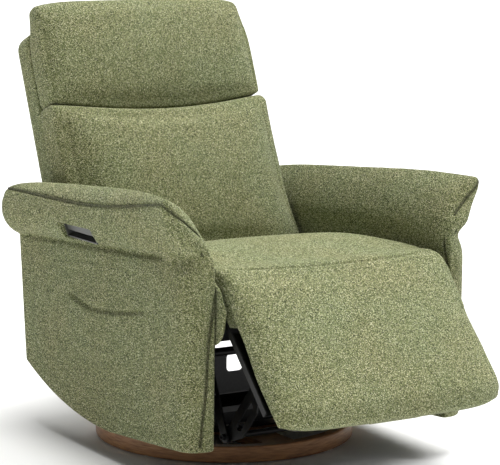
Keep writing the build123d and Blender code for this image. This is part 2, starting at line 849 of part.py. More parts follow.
def crank():
    """Tapered crank plate between the torque tube and the tie rod."""
    outline = make_hull((disc(crank_pivot, 20).edges() + disc(tie_pivot, link_half_width).edges()))
    middle = ((crank_pivot[0] + tie_pivot[0]) / 2, (crank_pivot[1] + tie_pivot[1]) / 2)
    outline -= disc(middle, 8.0)
    outline -= disc(crank_pivot, torque_tube_radius + running_clearance)
    outline -= disc(tie_pivot, tie_rod_radius + running_clearance)
    return sheet(outline, crank_x, steel)


def push_link():
    """Pressed push link: two bars round a long window, with a bore at each end."""
    run = Vector(lug_pivot[0] - tie_pivot[0], lug_pivot[1] - tie_pivot[1])
    across = Vector(-run.Y, run.X).normalized() * 34.0
    shoulder = (tie_pivot[0] + 0.28 * run.X + across.X, tie_pivot[1] + 0.28 * run.Y + across.Y)
    knee = (tie_pivot[0] + 0.72 * run.X + across.X, tie_pivot[1] + 0.72 * run.Y + across.Y)
    ends = disc(tie_pivot, link_half_width).edges() + disc(lug_pivot, link_half_width).edges()
    outline = make_hull(ends + disc(shoulder, 9.0).edges() + disc(knee, 9.0).edges())
    start = (tie_pivot[0] + 0.30 * run.X + 0.5 * across.X, tie_pivot[1] + 0.30 * run.Y + 0.5 * across.Y)
    end = (tie_pivot[0] + 0.70 * run.X + 0.5 * across.X, tie_pivot[1] + 0.70 * run.Y + 0.5 * across.Y)
    outline -= bar(start, end, 9.0)
    outline -= disc(tie_pivot, tie_rod_radius + running_clearance)
    outline -= disc(lug_pivot, link_pin_radius + open_pivot_clearance)
    return sheet(outline, link_x, steel)


def pivot_pins():
    """Pins in the side plates for the footrest and the back."""
    pieces = []
    for side in (1, -1):
        inner = side * (bracket_inner - 0.5)
        outer = side * plate_outer
        low, high = min(inner, outer), max(inner, outer)
        pieces.append(crosswise(low, high, hinge_y, hinge_z, hinge_pin_radius))
        pieces.append(crosswise(low, high, pivot_y, pivot_z, back_pin_radius))
    return pieces


# Back, drawn upright: X across, Y to the rear, Z up from the pivot
def back_shell():
    """Upholstered shell behind the back, with a recess for the timber frame."""
    outline = rounded([
        (-shell_half_width, shell_bottom), (shell_half_width, shell_bottom),
        (shell_half_width, shell_top), (-shell_half_width, shell_top),
    ], shell_round)
    shell = Pos(0, back_plane + shell_thickness, 0) * extrude(Plane.XZ * outline, amount=shell_thickness)
    rear = shell.faces().sort_by(Axis.Y)[-1]
    shell = fillet(rear.edges(), 28.0)
    return shell - box(-back_frame_half, back_frame_half, back_plane, back_plane + plywood,
                       back_frame_bottom, back_frame_top)


def back_rails():
    """Side rails and cross rails of the timber back frame."""
    inner = back_frame_half - back_rail_width
    depth = (back_plane, back_plane + plywood)
    sides = [box(inner, back_frame_half, *depth, back_frame_bottom, back_frame_top)]
    sides.append(box(-back_frame_half, -inner, *depth, back_frame_bottom, back_frame_top))
    crosses = []
    middle = (lumbar_top + headrest_bottom) / 2 - 60
    for low in (back_frame_bottom, middle, back_frame_top - 60):
        crosses.append(box(-inner, inner, *depth, low, low + 60))
    return sides, crosses


def back_webbing():
    """Elastic straps between the side rails behind the lumbar cushion."""
    inner = back_frame_half - back_rail_width
    low = back_frame_bottom + 70
    high = (lumbar_top + headrest_bottom) / 2 - 70
    pitch = (high - low) / back_straps
    pieces = []
    for index in range(back_straps):
        z = low + pitch * (index + 0.1)
        pieces.append(box(-inner, inner, back_plane, back_plane + webbing_thickness, z, z + 0.75 * pitch))
    return pieces


def lumbar_cushion():
    """Lumbar cushion: crowned front, drawn-in sides and a lower roll about the pivot."""
    sections = []
    for share in cushion_shares:
        draw = abs(share) ** edge_power
        crown = lumbar_crown * (1 - share * share)
        roll = back_roll_radius * (1 - 0.5 * draw)
        top_front = lumbar_top_front - 0.6 * crown + 20 * draw
        top = lumbar_top - headrest_dip * (1 - share * share)
        mid_front = (lumbar_mid_front - crown) * (1 - draw) + lumbar_seam * draw
        nose = (-roll * cos(radians(6)), -back_roll_radius * sin(radians(6)))
        turn = (-roll * cos(radians(48)), -back_roll_radius * sin(radians(48)))
        under = (0.0, -back_roll_radius)
        edges = [Line((back_plane, -back_roll_radius), (back_plane, top)), Line((back_plane, top), (top_front + lumbar_top_round, top))]
        shoulder = (top_front + 0.3 * lumbar_top_round, top - 0.3 * lumbar_top_round)
        brow = (top_front, top - lumbar_top_round)
        edges.append(ThreePointArc((top_front + lumbar_top_round, top), shoulder, brow))
        edges.append(ThreePointArc(brow, (mid_front, lumbar_top * 0.46), nose))
        edges.append(ThreePointArc(nose, turn, under))
        edges.append(Line(under, (back_plane, -back_roll_radius)))
        sections.append(at_x(share * lumbar_half_width) * make_face(edges))
    cushion = loft(sections)
    for side in (1, -1):
        flange = bracket_flange()
        cushion -= flange if side == 1 else mirror(flange, about=Plane.YZ)
    return cushion


def headrest_cushion():
    """Headrest cushion with a crowned front and a dipped lower edge, recessed for its board."""
    sections = []
    for share in cushion_shares:
        draw = abs(share) ** edge_power
        crown = headrest_crown * (1 - share * share)
        front = headrest_front + 14 * draw
        top = headrest_top - 8 * draw
        low = headrest_bottom - headrest_dip * (1 - share * share)
        edges = [Line((back_plane, low), (back_plane, top - 22))]
        edges.append(ThreePointArc((back_plane, top - 22), (back_plane - 14, top - 5), (back_plane - 34, top)))
        edges.append(ThreePointArc((back_plane - 34, top), (front + 14, top - 6), (front + 4, top - 30)))
        edges.append(ThreePointArc((front + 4, top - 30), (front - crown, (top + low) / 2), (front, low)))
        edges.append(Line((front, low), (back_plane, low)))
        sections.append(at_x(share * headrest_half_width) * make_face(edges))
    return loft(sections) - headrest_board()


def headrest_board():
    """Plywood board in the headrest, against the top of the back frame."""
    half = headrest_half_width - 45
    return box(-half, half, back_plane - headrest_board_thickness, back_plane, headrest_bottom + 20, shell_top - 8)


def bracket_flange():
    """Flange of the back bracket that lies on the side rail."""
    inner = back_frame_half - back_rail_width
    return box(inner, bracket_outer, back_plane - steel, back_plane, back_flange_foot, back_flange_head)


def back_bracket():
    """Steel bracket at +X from the pivot to the back frame."""
    wall = rounded([
        (-14, -14), (16, -18), (back_plane, 0), (back_plane, back_flange_head + 10), (back_plane - 34, back_flange_head), (-16, 12),
    ], 6.0)
    wall += disc((0, 0), lug_radius - 2)
    wall -= disc((0, 0), back_pin_radius + running_clearance)
    return sheet(wall, bracket_inner, steel) + bracket_flange()


# Build every piece by its name
nodes = {}

long_plank, short_plank = base_planks()
screw_depth = screw_shank_length
nodes["base_ring"] = base_ring()
nodes["base_long_plank"] = drilled(long_plank, swivel_screw_places, lower_plate_top, screw_depth + 2)
nodes["base_short_plank"] = drilled(short_plank, swivel_screw_places, lower_plate_top, screw_depth + 2)
nodes["base_glides"] = base_glides()
nodes["swivel_lower_plate"] = drilled(swivel_plate(plank_top), swivel_screw_places, lower_plate_top, screw_depth)
nodes["swivel_bearing"] = bearing_ring()
nodes["swivel_pin"] = swivel_pin()
nodes["swivel_screws"] = screws_down(swivel_screw_places, lower_plate_top)

upper_bore = upright(0, 0, upper_plate_bottom, swivel_pin_radius + running_clearance, swivel_plate_thickness)
nodes["swivel_upper_plate"] = swivel_plate(upper_plate_bottom) - upper_bore
nodes["front_cross_tube"] = cross_tube(-tube_offset)
nodes["rear_cross_tube"] = cross_tube(tube_offset)
nodes["slide_rails"] = list(pair(slide_rail()).values())

brackets = []
bolts = []
for tube_y in (-tube_offset, tube_offset):
    brackets += pair(arm_bracket(tube_y)).values()
    for bolt in bracket_bolts(tube_y):
        bolts += pair(bolt).values()
nodes["arm_brackets"] = brackets
nodes["arm_bolts"] = bolts

arm_body = lower_arm()
plywood_frame = arm_frame()
arms = {
    "arm_frame": pair(plywood_frame),
    "arm_panel": pair(arm_panel(arm_body, plywood_frame)),
    "arm_lining": pair(arm_lining(arm_body)),
    "arm_pad": pair(arm_pad()),
}
arms["arm_panel"]["right"] -= mirror(side_pocket_face(pocket_thickness, 1.5), about=Plane.YZ)
arms["arm_pad"]["right"] -= cup_plane.location * cup_block(cup_length, cup_height, cup_depth)
cup_mouth = cup_plane.location * (Pos(0, 0, cup_depth / 2) * Box(cup_length, cup_height, cup_depth))
arms["arm_pad"]["right"] -= cup_mouth
for piece_name, sides in arms.items():
    for side_name, piece in sides.items():
        nodes[f"{side_name}_{piece_name}"] = piece
nodes["side_pocket"] = mirror(side_pocket_face(pocket_thickness, 0.0), about=Plane.YZ)
nodes["release_cup"] = cup_plane.location * release_cup()
nodes["release_pin"] = cup_plane.location * release_pin()
nodes["release_lever"] = cup_plane.location * release_lever()

for side_name, piece in pair(side_plate()).items():
    nodes[f"{side_name}_side_plate"] = piece
shoes = []
for shoe_y in (-shoe_offset, shoe_offset):
    shoes += pair(slide_shoe(shoe_y)).values()
nodes["slide_shoes"] = shoes
rail_rear = seat_rear - 10
nodes["seat_front_rail"] = front_rail()
nodes["seat_rear_rail"] = box(-plate_inner, plate_inner, rail_rear - seat_rail_width, rail_rear,
                              seat_rail_bottom, seat_rail_top)
nodes["seat_side_rails"] = list(pair(box(plate_inner - seat_rail_width, plate_inner,
                                         seat_front + seat_rail_width, rail_rear - seat_rail_width,
                                         seat_rail_bottom, seat_rail_top)).values())
nodes["seat_webbing"] = seat_straps()
nodes["seat_dust_cover"] = box(-plate_inner + 2, plate_inner - 2, seat_front + 2, rail_rear - 2,
                               seat_rail_bottom - dust_cover_thickness, seat_rail_bottom)
nodes["seat_channel"] = seat_channel()
nodes["seat_cushion"] = seat_cushion()
for side_name, piece in pair(seat_border()).items():
    nodes[f"{side_name}_seat_border"] = piece
nodes["pivot_pins"] = pivot_pins()

nodes["footrest_board"] = footrest_place(footrest_board())
nodes["footrest_pad"] = footrest_place(footrest_pad())
turned_bracket = footrest_place(mirror(footrest_bracket(), about=Plane.YZ))
for side_name, piece in pair(turned_bracket).items():
    nodes[f"{side_name}_footrest_bracket"] = piece
nodes["footrest_link_pins"] = [footrest_place(pin) for pin in footrest_link_pins()]

nodes["torque_tube"] = torque_tube()
nodes["tie_rod"] = tie_rod()
for side_name, piece in pair(crank()).items():
    nodes[f"{side_name}_crank"] = piece
for side_name, piece in pair(push_link()).items():
    nodes[f"{side_name}_push_link"] = piece

side_rails, cross_rails = back_rails()
nodes["back_side_rails"] = [lean_back(rail) for rail in side_rails]
nodes["back_cross_rails"] = [lean_back(rail) for rail in cross_rails]
nodes["back_webbing"] = [lean_back(strap) for strap in back_webbing()]
nodes["back_shell"] = lean_back(back_shell())
nodes["lumbar_cushion"] = lean_back(lumbar_cushion())
nodes["headrest_board"] = lean_back(headrest_board())
nodes["headrest_cushion"] = lean_back(headrest_cushion())
for side_name, piece in pair(back_bracket()).items():
    nodes[f"{side_name}_back_bracket"] = lean_back(piece)

os.makedirs("parts", exist_ok=True)
for node_name, piece in nodes.items():
    if isinstance(piece, list):
        piece = Compound(children=piece)
    export_step(piece, f"parts/{node_name}.step")
print(len(nodes), "nodes written")
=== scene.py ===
import json
import math

import bmesh
import bpy
import numpy as np
from mathutils import Matrix, Vector
from mathutils.bvhtree import BVHTree


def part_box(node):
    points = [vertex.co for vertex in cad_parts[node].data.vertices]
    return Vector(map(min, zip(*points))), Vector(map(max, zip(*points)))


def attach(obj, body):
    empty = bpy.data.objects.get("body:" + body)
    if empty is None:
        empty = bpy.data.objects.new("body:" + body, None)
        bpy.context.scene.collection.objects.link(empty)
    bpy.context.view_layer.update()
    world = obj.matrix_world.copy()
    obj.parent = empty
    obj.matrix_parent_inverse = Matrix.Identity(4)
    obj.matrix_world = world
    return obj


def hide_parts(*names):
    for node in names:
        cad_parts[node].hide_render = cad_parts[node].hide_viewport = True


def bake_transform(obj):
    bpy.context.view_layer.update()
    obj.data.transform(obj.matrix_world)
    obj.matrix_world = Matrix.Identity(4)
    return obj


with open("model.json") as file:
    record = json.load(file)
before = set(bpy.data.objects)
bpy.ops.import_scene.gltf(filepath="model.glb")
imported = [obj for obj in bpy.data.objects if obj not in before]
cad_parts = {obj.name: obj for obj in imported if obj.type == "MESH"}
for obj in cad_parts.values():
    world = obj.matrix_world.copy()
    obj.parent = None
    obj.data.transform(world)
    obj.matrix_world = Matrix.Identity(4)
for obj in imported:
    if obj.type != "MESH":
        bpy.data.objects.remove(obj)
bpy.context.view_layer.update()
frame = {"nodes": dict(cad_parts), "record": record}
nodes = frame["nodes"]

# Photograph's camera, fitted to the base ring: metres, radians and pixels of a 500 by 465 picture
PICTURE_WIDTH = 500
CAMERA_AZIMUTH = 0.550561
CAMERA_HEIGHT = 1.374962
CAMERA_DISTANCE = 5.5
CAMERA_YAW = 0.0107832
CAMERA_PITCH = 0.157077
CAMERA_ROLL = 0.0110926
CAMERA_FOCAL_PIXELS = 2259.0
SENSOR_WIDTH = 36.0

# Shapes that the covers share with the solids under them, in metres
ARM_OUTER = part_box("left_arm_panel")[1].x
ARM_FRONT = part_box("left_arm_panel")[0].y
ARM_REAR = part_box("left_arm_panel")[1].y
SEAT_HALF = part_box("seat_cushion")[1].x
PAD_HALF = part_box("footrest_pad")[1].x
NOTCH_MID = 0.502
NOTCH_SLOPE = 0.062
HINGE = Vector((0, -0.457, 0.432))
ROLL_RADIUS = 0.066
PAD_FACE_RADIUS = 0.074
PIVOT = Vector((0, 0.170, 0.450))
BACK_LEAN = math.radians(22.5)
BACK_JOIN = 0.385
FOOTREST_DROP = math.radians(46)

# Arm covers, in metres: the crease under the flare, the waist at its front end, and the flare's pointed tip
ARM_FOOT = 0.09
ARM_BELLY = 0.006
ARM_CUSHION = 0.005
NOTCH_WIDTH = 0.0075
NOTCH_DEPTHS = (0.007, 0.012)
NOTCH_END = -0.39
WAIST_WIDTH = 0.026
WAIST_DEPTH = 0.011
TIP = (0.433, -0.436, 0.657)
TIP_REACH = 0.055
TIP_PULL = (0.007, -0.013, 0.002)
POCKET_LIP = 0.0045

# Seat and footrest covers, in metres: corners drawn in, the knee over the seat's front, the pad's edges
SEAT_CORNER_DRAW = 0.020
BORDER_DRAW = 0.016
KNEE_EDGE = 0.014
KNEE_LENGTH = 0.120
KNEE_UNDERSIDE = 0.032
KNEE_SINK = 0.005
KNEE_LAP = 0.070
SEAT_GAP = 0.0015
PAD_EDGE = 0.021
PAD_TRIM_FROM = 0.279
PAD_TRIM_TO = 0.034
PAD_CORNER_FROM = 0.240
PAD_CORNER_ACROSS = 0.008
PAD_CORNER_UP = 0.006

# Back cushions, in metres: the seam beside the front panel, the rounded rear edge and the sagging join
BACK_SEAM = 0.289
BACK_REAR_DRAW = 0.012
JOIN_RISE = 0.017
JOIN_SAG = 0.008
JOIN_REACH = 0.05

# Soft work: spacing of the covers' mesh, and the stuffing's pressure and time
COVER_VOXEL = 0.006
SMOOTH_STEPS = 6
CLOTH_FRAMES = 10
CLOTH_PRESSURE = 9.0
PIPING_RADIUS = 0.0027


# Small tools
def add_node(tree, kind, inputs=None, stops=None, **settings):
    """Adds a shader node with its settings and links; stops are a colour ramp's places and hex colours."""
    node = tree.nodes.new(kind)
    for key, value in settings.items():
        setattr(node, key, value)
    for key, value in (inputs or {}).items():
        if isinstance(value, bpy.types.NodeSocket):
            tree.links.new(value, node.inputs[key])
        else:
            node.inputs[key].default_value = value
    if stops:
        elements = node.color_ramp.elements
        while len(elements) < len(stops):
            elements.new(1.0)
        for element, (place, colour) in zip(elements, stops):
            element.position = place
            element.color = linear(colour)
    return node


def linear(hex_colour):
    """sRGB hex to a linear colour with alpha."""
    parts = [int(hex_colour[i:i + 2], 16) / 255 for i in (1, 3, 5)]
    return [c / 12.92 if c <= 0.04045 else ((c + 0.055) / 1.055) ** 2.4 for c in parts] + [1.0]


def per_metre(millimetres):
    """Texture scale whose pattern repeats about every so many millimetres."""
    return 1000.0 / millimetres


def new_material(name):
    """Empty material with its tree and its shader."""
    material = bpy.data.materials.new(name)
    material.use_nodes = True
    tree = material.node_tree
    shader = tree.nodes["Principled BSDF"]
    return material, tree, shader


# Materials
def chenille(name, cool, warm):
    """Olive chenille, woven from nubby twisted yarn: pale, green and dark flecks, and a soft bloom.

    Cool and warm are the slow drift of the dye; the piping cords get darkened stops, which is painted shade
    of the seam's groove.
    The flecks are 1.2 mm, about the yarn's own width, and longer along the weft.
    """
    material, tree, shader = new_material(name)
    place = add_node(tree, "ShaderNodeTexCoord").outputs["Object"]
    weft = add_node(tree, "ShaderNodeMapping", {"Vector": place, "Scale": (1.0, 0.55, 1.0)})
    yarn = add_node(tree, "ShaderNodeTexVoronoi", {
        "Vector": weft.outputs["Vector"], "Scale": per_metre(1.2), "Randomness": 1.0})
    fleck = add_node(tree, "ShaderNodeSeparateColor", {"Color": yarn.outputs["Color"]}).outputs["Red"]
    flecks = add_node(tree, "ShaderNodeValToRGB", {"Fac": fleck}, stops=[
        (0.00, "#1f2417"), (0.16, "#40462e"), (0.42, "#686f4b"),
        (0.66, "#858c62"), (0.86, "#adaf8a"), (1.00, "#dedcc4")])
    clumps = add_node(tree, "ShaderNodeTexNoise", {"Vector": place, "Scale": per_metre(6.0), "Detail": 3.0})
    shade = add_node(tree, "ShaderNodeValToRGB", {"Fac": clumps.outputs["Fac"]}, stops=[
        (0.32, "#efefeb"), (0.50, "#f7f7f4"), (0.68, "#ffffff")])
    mottled = add_node(tree, "ShaderNodeMix", {0: 1.0, 6: flecks.outputs["Color"], 7: shade.outputs["Color"]},
                       data_type="RGBA", blend_type="MULTIPLY")
    drift = add_node(tree, "ShaderNodeTexNoise", {"Vector": place, "Scale": per_metre(160.0), "Detail": 2.0})
    # Dye drift; with the piping's darkened stops this ramp also paints the shade of the seam's groove
    dye_drift_and_shade = add_node(tree, "ShaderNodeValToRGB", {"Fac": drift.outputs["Fac"]}, stops=[
        (0.35, cool), (0.65, warm)])
    colour = add_node(tree, "ShaderNodeMix", {0: 1.0, 6: mottled.outputs[2], 7: dye_drift_and_shade.outputs["Color"]},
                      data_type="RGBA", blend_type="MULTIPLY")
    tree.links.new(colour.outputs[2], shader.inputs["Base Color"])
    nub = add_node(tree, "ShaderNodeMath", {0: yarn.outputs["Distance"], 1: -0.7}, operation="MULTIPLY")
    height = add_node(tree, "ShaderNodeMath", {0: nub.outputs[0], 1: clumps.outputs["Fac"]}, operation="ADD")
    bump = add_node(tree, "ShaderNodeBump", {"Strength": 0.5, "Distance": 0.002, "Height": height.outputs[0]})
    tree.links.new(bump.outputs["Normal"], shader.inputs["Normal"])
    shader.inputs["Roughness"].default_value = 0.95
    shader.inputs["Specular IOR Level"].default_value = 0.15
    shader.inputs["Sheen Weight"].default_value = 0.06
    shader.inputs["Sheen Roughness"].default_value = 0.6
    return material


def walnut():
    """Walnut-stained bent beech under satin lacquer: straight fine grain, darker pores and a soft shine."""
    material, tree, shader = new_material("walnut_stained_beech")
    place = add_node(tree, "ShaderNodeTexCoord").outputs["Object"]
    stretch = add_node(tree, "ShaderNodeMapping", {"Vector": place, "Scale": (1.0, 1.0, 9.0)})
    grain = add_node(tree, "ShaderNodeTexNoise", {
        "Vector": stretch.outputs["Vector"], "Scale": per_metre(38.0), "Detail": 6.0, "Roughness": 0.62})
    colour = add_node(tree, "ShaderNodeValToRGB", {"Fac": grain.outputs["Fac"]}, stops=[
        (0.28, "#7d5232"), (0.50, "#a8764a"), (0.74, "#c0905f")])
    tree.links.new(colour.outputs["Color"], shader.inputs["Base Color"])
    bump = add_node(tree, "ShaderNodeBump", {
        "Strength": 0.12, "Distance": 0.0006, "Height": grain.outputs["Fac"]})
    tree.links.new(bump.outputs["Normal"], shader.inputs["Normal"])
    shader.inputs["Roughness"].default_value = 0.42
    shader.inputs["Coat Weight"].default_value = 0.2
    shader.inputs["Coat Roughness"].default_value = 0.25
    return material


def enamelled_steel():
    """Pressed steel under black stoving enamel: dark and glossy, with a faint orange-peel ripple."""
    material, tree, shader = new_material("black_enamelled_steel")
    place = add_node(tree, "ShaderNodeTexCoord").outputs["Object"]
    peel = add_node(tree, "ShaderNodeTexNoise", {"Vector": place, "Scale": per_metre(7.0), "Detail": 2.0})
    colour = add_node(tree, "ShaderNodeValToRGB", {"Fac": peel.outputs["Fac"]}, stops=[
        (0.35, "#080808"), (0.70, "#121213")])
    tree.links.new(colour.outputs["Color"], shader.inputs["Base Color"])
    gloss = add_node(tree, "ShaderNodeMapRange", {
        "Value": peel.outputs["Fac"], "To Min": 0.28, "To Max": 0.42})
    tree.links.new(gloss.outputs["Result"], shader.inputs["Roughness"])
    bump = add_node(tree, "ShaderNodeBump", {
        "Strength": 0.08, "Distance": 0.0004, "Height": peel.outputs["Fac"]})
    tree.links.new(bump.outputs["Normal"], shader.inputs["Normal"])
    shader.inputs["Specular IOR Level"].default_value = 0.2
    return material


def zinc_steel():
    """Zinc-plated turned steel: pale grey metal with fine tool lines, drawn coarser than real to show."""
    material, tree, shader = new_material("zinc_plated_steel")
    place = add_node(tree, "ShaderNodeTexCoord").outputs["Object"]
    brush = add_node(tree, "ShaderNodeMapping", {"Vector": place, "Scale": (1.0, 12.0, 12.0)})
    lines = add_node(tree, "ShaderNodeTexNoise", {
        "Vector": brush.outputs["Vector"], "Scale": per_metre(14.0), "Detail": 3.0})
    colour = add_node(tree, "ShaderNodeValToRGB", {"Fac": lines.outputs["Fac"]}, stops=[
        (0.3, "#8f9192"), (0.7, "#b7b9b8")])
    tree.links.new(colour.outputs["Color"], shader.inputs["Base Color"])
    rough = add_node(tree, "ShaderNodeMapRange", {
        "Value": lines.outputs["Fac"], "To Min": 0.28, "To Max": 0.45})
    tree.links.new(rough.outputs["Result"], shader.inputs["Roughness"])
    shader.inputs["Metallic"].default_value = 1.0
    return material


def moulded_plastic(name, dark, light, roughness):
    """Moulded plastic, matt from the spark-eroded grain of its tool, drawn coarser than real to show."""
    material, tree, shader = new_material(name)
    place = add_node(tree, "ShaderNodeTexCoord").outputs["Object"]
    grain = add_node(tree, "ShaderNodeTexNoise", {"Vector": place, "Scale": per_metre(2.0), "Detail": 2.0})
    colour = add_node(tree, "ShaderNodeValToRGB", {"Fac": grain.outputs["Fac"]}, stops=[
        (0.3, dark), (0.7, light)])
    tree.links.new(colour.outputs["Color"], shader.inputs["Base Color"])
    bump = add_node(tree, "ShaderNodeBump", {
        "Strength": 0.15, "Distance": 0.0003, "Height": grain.outputs["Fac"]})
    tree.links.new(bump.outputs["Normal"], shader.inputs["Normal"])
    shader.inputs["Roughness"].default_value = roughness
    return material


def raw_timber(name, dark, light, grain_mm):
    """Planed unfinished timber: long straight grain and no shine."""
    material, tree, shader = new_material(name)
    place = add_node(tree, "ShaderNodeTexCoord").outputs["Object"]
    stretch = add_node(tree, "ShaderNodeMapping", {"Vector": place, "Scale": (1.0, 7.0, 7.0)})
    grain = add_node(tree, "ShaderNodeTexNoise", {
        "Vector": stretch.outputs["Vector"], "Scale": per_metre(grain_mm), "Detail": 5.0})
    colour = add_node(tree, "ShaderNodeValToRGB", {"Fac": grain.outputs["Fac"]}, stops=[
        (0.3, dark), (0.7, light)])
    tree.links.new(colour.outputs["Color"], shader.inputs["Base Color"])
    shader.inputs["Roughness"].default_value = 0.75
    return material


def woven_tape(name, dark, light, thread_mm):
    """Plain woven tape or lining cloth: crossed threads, matt; threads drawn coarser than real to show."""
    material, tree, shader = new_material(name)
    place = add_node(tree, "ShaderNodeTexCoord").outputs["Object"]
    threads = add_node(tree, "ShaderNodeTexChecker", {"Vector": place, "Scale": per_metre(2 * thread_mm)})
    colour = add_node(tree, "ShaderNodeValToRGB", {"Fac": threads.outputs["Fac"]}, stops=[
        (0.0, dark), (1.0, light)])
    tree.links.new(colour.outputs["Color"], shader.inputs["Base Color"])
    shader.inputs["Roughness"].default_value = 0.9
    return material


FABRIC = chenille("olive_chenille", "#f8fbf2", "#fdf9ee")
# Darker copy of the chenille for the piping cords: painted shade of the groove each cord sits in
PIPING_PAINTED_SHADE_FABRIC = chenille("olive_chenille_piping_painted_shade", "#9c9f94", "#a29e93")
FINISHES = {
    "green_chenille": FABRIC,
    "walnut_stained_wood": walnut(),
    "black_enamelled_steel": enamelled_steel(),
    "zinc_plated_steel": zinc_steel(),
    "nylon": moulded_plastic("natural_nylon", "#c9c7bf", "#dedcd4", 0.55),
    "grey_plastic": moulded_plastic("charcoal_abs", "#3c3d3a", "#4f504c", 0.5),
    "plywood": raw_timber("birch_plywood", "#b9966a", "#d3b487", 60.0),
    "beech_timber": raw_timber("beech", "#b98f62", "#d4b088", 45.0),
    "elastic_webbing": woven_tape("elastic_webbing", "#232323", "#343434", 2.5),
    "black_dust_cloth": woven_tape("black_dust_cloth", "#101010", "#181818", 1.5),
}


def dress_cad_nodes():
    """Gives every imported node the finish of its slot; black cloth is stapled over the footrest's board."""
    for part in frame["record"]["subparts"]:
        mesh = nodes[part["node"]].data
        mesh.materials.clear()
        mesh.materials.append(FINISHES[part["material_slot"]])
    nodes["footrest_board"].data.materials[0] = FINISHES["black_dust_cloth"]


# Cover making
def new_object(name, data):
    """Links a mesh, light or camera into the scene under a name."""
    obj = bpy.data.objects.new(name, data)
    bpy.context.scene.collection.objects.link(obj)
    return obj


def new_mesh(name, work):
    """Mesh from what was built, which is then let go."""
    mesh = bpy.data.meshes.new(name)
    work.to_mesh(mesh)
    work.free()
    return mesh


def copies_of(*node_names):
    """Copies of the named solids, in one mesh to build on."""
    work = bmesh.new()
    for node_name in node_names:
        work.from_mesh(nodes[node_name].data)
    bmesh.ops.remove_doubles(work, verts=work.verts, dist=1e-6)
    return work


def skin_rings(work, rings):
    """Joins closed rings of points, one after the other, into a closed skin."""
    made = [[work.verts.new(point) for point in ring] for ring in rings]
    faces = [work.faces.new(made[0][::-1]), work.faces.new(made[-1])]
    count = len(made[0])
    for first, second in zip(made, made[1:]):
        for step in range(count):
            after = (step + 1) % count
            faces.append(work.faces.new((first[step], first[after], second[after], second[step])))
    bmesh.ops.recalc_face_normals(work, faces=faces)


def bake_modifiers(obj):
    """Replaces an object's mesh by what its modifiers make of it."""
    graph = bpy.context.evaluated_depsgraph_get()
    mesh = bpy.data.meshes.new_from_object(obj.evaluated_get(graph))
    old = obj.data
    obj.modifiers.clear()
    obj.data = mesh
    bpy.data.meshes.remove(old)
    mesh.name = obj.name


def remesh(obj, voxel, smooth_steps):
    """Even quads over the whole piece, with its edges softened."""
    grid = obj.modifiers.new("grid", "REMESH")
    grid.mode = "VOXEL"
    grid.voxel_size = voxel
    soften = obj.modifiers.new("soften", "SMOOTH")
    soften.factor = 0.5
    soften.iterations = smooth_steps
    bake_modifiers(obj)


def refine(obj):
    """One smooth subdivision, kept in the mesh."""
    finer = obj.modifiers.new("finer", "SUBSURF")
    finer.levels = 1
    finer.render_levels = 1
    bake_modifiers(obj)


def hug(obj, solids, share):
    """Draws a softened cover back onto the solids under it, by a share of the way."""
    places = points_of(obj)
    normals = normals_of(obj)
    reach = 0.02
    gaps = np.zeros(len(places))
    for index, (place, normal) in enumerate(zip(places, normals)):
        outside = Vector(place + normal * reach)
        hit, _, _, distance = solids.ray_cast(outside, Vector(-normal), 2 * reach)
        if hit:
            gaps[index] = reach - distance
    set_points(obj, places + normals * (share * evened(obj, gaps, 2))[:, None])


def points_of(obj):
    """Vertex places as an array."""
    flat = np.empty(len(obj.data.vertices) * 3)
    obj.data.vertices.foreach_get("co", flat)
    return flat.reshape(-1, 3)


def normals_of(obj):
    """Vertex normals as an array."""
    flat = np.empty(len(obj.data.vertices) * 3)
    obj.data.vertices.foreach_get("normal", flat)
    return flat.reshape(-1, 3)


def set_points(obj, places):
    """Writes vertex places back."""
    obj.data.vertices.foreach_set("co", places.astype(np.float32).ravel())
    obj.data.update()


def ease(value):
    """0 below 0, 1 above 1, and a smooth step between."""
    value = np.clip(value, 0, 1)
    return value * value * (3 - 2 * value)


def evened(obj, values, rounds):
    """Values at the vertices, evened out with their neighbours."""
    ends = np.empty(len(obj.data.edges) * 2, np.int32)
    obj.data.edges.foreach_get("vertices", ends)
    first, second = ends.reshape(-1, 2).T
    count = np.bincount(ends, minlength=len(values))
    for _ in range(rounds):
        total = np.bincount(first, values[second], len(values))
        total = total + np.bincount(second, values[first], len(values))
        values = 0.5 * values + 0.5 * total / np.maximum(count, 1)
    return values


def stuff(obj, held, cap):
    """Swells a closed cover with cloth pressure; held picks points that stay, and none rises over cap."""
    start = points_of(obj)
    outward = normals_of(obj)
    pins = obj.vertex_groups.new(name="held")
    pins.add([int(i) for i in np.flatnonzero(held(start))], 1.0, "REPLACE")
    cloth = obj.modifiers.new("stuffing", "CLOTH")
    cloth.settings.quality = 3
    cloth.settings.use_pressure = True
    cloth.settings.uniform_pressure_force = CLOTH_PRESSURE
    cloth.settings.effector_weights.gravity = 0.0
    cloth.settings.vertex_group_mass = pins.name
    cloth.collision_settings.use_collision = False
    scene = bpy.context.scene
    for step in range(1, CLOTH_FRAMES + 1):
        scene.frame_set(step)
    graph = bpy.context.evaluated_depsgraph_get()
    swollen = obj.evaluated_get(graph).to_mesh()
    flat = np.empty(len(start) * 3)
    swollen.vertices.foreach_get("co", flat)
    obj.modifiers.clear()
    obj.vertex_groups.clear()
    scene.frame_set(1)
    rise = np.clip(((flat.reshape(-1, 3) - start) * outward).sum(1), 0, cap)
    set_points(obj, start + outward * evened(obj, rise, 10)[:, None])


def finish_cover(obj, replaced):
    """Fabric, smooth shading and the solids it stands for."""
    obj.data.materials.clear()
    obj.data.materials.append(FABRIC)
    obj.data.polygons.foreach_set("use_smooth", [True] * len(obj.data.polygons))
    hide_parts(*replaced)


